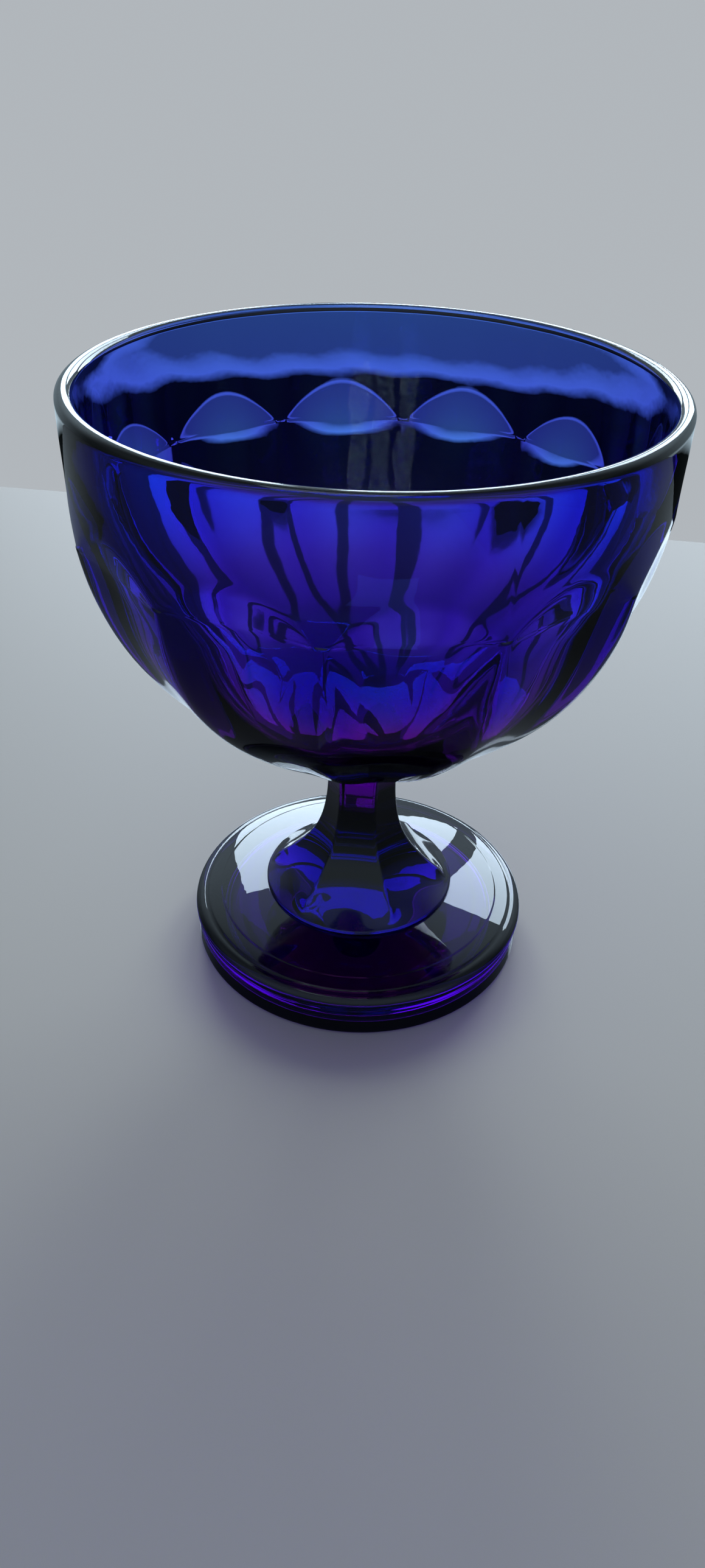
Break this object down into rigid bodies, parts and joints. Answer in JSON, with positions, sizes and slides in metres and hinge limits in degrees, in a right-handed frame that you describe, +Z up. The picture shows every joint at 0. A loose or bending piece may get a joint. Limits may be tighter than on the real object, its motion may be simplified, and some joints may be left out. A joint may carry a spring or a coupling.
{
  "type": "footed glass dessert bowl",
  "caption": "Footed dessert bowl of cobalt-blue pressed glass: deep panelled bowl, faceted flared stem and round foot.",
  "frame": {"origin": "on the bowl's axis, in the plane that the foot stands on", "axes": "+Z up along the axis of the bowl, stem and foot; -Y is the front, along a ridge between two panels"},
  "size_m": [0.1, 0.1, 0.1144],
  "materials": {
    "bowl_glass": "fire-polished, clear, deep cobalt blue",
    "stem_glass": "fire-polished, clear, deep cobalt blue",
    "foot_glass": "fire-polished, clear, deep cobalt blue"
  },
  "bodies": {
    "root": {"bowl": "bowl_glass", "stem": "stem_glass", "foot": "foot_glass"}
  },
  "joints": []
}
